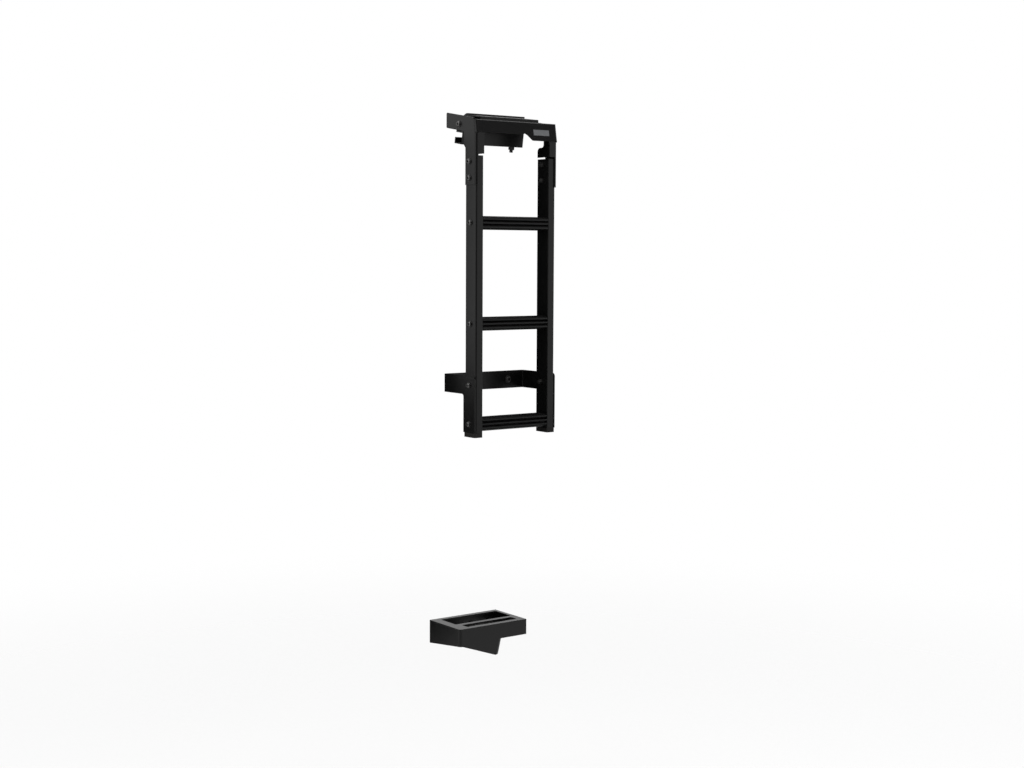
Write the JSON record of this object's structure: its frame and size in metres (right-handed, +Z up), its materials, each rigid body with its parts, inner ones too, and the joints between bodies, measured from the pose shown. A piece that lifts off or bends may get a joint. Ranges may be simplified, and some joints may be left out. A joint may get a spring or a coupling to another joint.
{
  "type": "rear vehicle ladder with bumper step",
  "caption": "Fixed rear ladder for a boxy off-roader: gutter clamp on top, folded wall bracket below, and a separate bumper step.",
  "frame": {"origin": "middle of the lower bracket's flat face against the vehicle's rear wall, midway between the stiles", "axes": "+X towards the vehicle's right, +Y forward into the vehicle, +Z up along the stiles"},
  "size_m": [0.263, 0.1293, 1.2222],
  "materials": {
    "powder_coat": "satin black powder coat",
    "foot_cap": "moulded black plastic",
    "name_plate": "plain satin grey",
    "bolt": "black zinc"
  },
  "bodies": {
    "root": {"left_stile": "powder_coat", "right_stile": "powder_coat", "left_stile_foot": "foot_cap", "right_stile_foot": "foot_cap", "upper_rung": "powder_coat", "middle_rung": "powder_coat", "lower_rung": "powder_coat", "top_panel": "powder_coat", "left_top_plate": "powder_coat", "right_top_plate": "powder_coat", "left_top_return": "powder_coat", "right_top_return": "powder_coat", "name_plate": "name_plate", "tread_plate": "powder_coat", "tread_riser": "powder_coat", "cross_plate": "powder_coat", "gutter_upper_jaw": "powder_coat", "gutter_lower_jaw": "powder_coat", "left_clamp_bolt": "bolt", "right_clamp_bolt": "bolt", "lower_bracket_web": "powder_coat", "left_bracket_leg": "powder_coat", "right_bracket_leg": "powder_coat", "step_tread": "powder_coat", "step_side_skirt": "powder_coat", "step_right_skirt": "powder_coat", "step_rear_skirt": "powder_coat", "step_gusset": "powder_coat", "step_back_plate": "powder_coat"}
  },
  "joints": []
}
